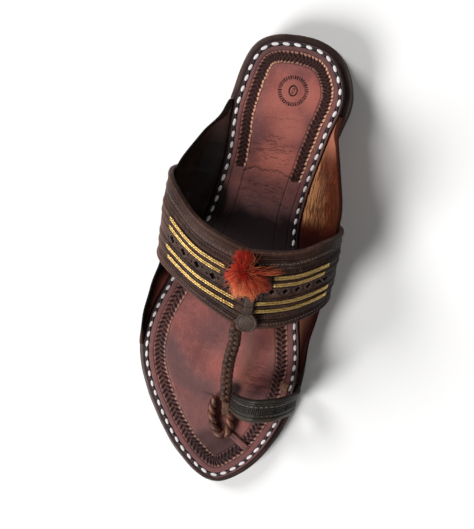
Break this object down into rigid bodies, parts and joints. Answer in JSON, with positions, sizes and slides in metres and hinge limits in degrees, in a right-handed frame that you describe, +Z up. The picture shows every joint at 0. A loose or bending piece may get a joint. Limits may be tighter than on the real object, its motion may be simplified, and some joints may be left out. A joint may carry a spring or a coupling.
{
  "type": "kolhapuri sandal",
  "caption": "Leather kolhapuri sandal for a right foot with side flaps, a broad instep band, a plaited toe strap, a toe ring and a red tassel.",
  "frame": {"origin": "centre of the bounding box, on the ground", "axes": "+Y from toe to heel, +X towards the inner side of the foot, +Z up"},
  "size_m": [0.1128, 0.2752, 0.0786],
  "materials": {
    "insole_leather": "satin",
    "sole_leather": "satin",
    "upper_leather": "satin",
    "plait_leather": "satin",
    "ring_leather": "satin",
    "cord_leather": "satin",
    "brass": "satin",
    "tassel_thread": "matte"
  },
  "bodies": {
    "root": {"outsole": "sole_leather", "heel_lift_1": "sole_leather", "heel_lift_2": "sole_leather", "heel_lift_3": "sole_leather", "insole": "insole_leather", "upper": "upper_leather", "toe_braid": "plait_leather", "toe_post": "plait_leather", "toe_knot": "cord_leather", "toe_tab": "insole_leather", "toe_ring": "ring_leather", "rosette": "upper_leather", "brass_disc": "brass", "coin_tab": "upper_leather", "tassel_ring": "brass", "tassel": "tassel_thread"}
  },
  "joints": []
}
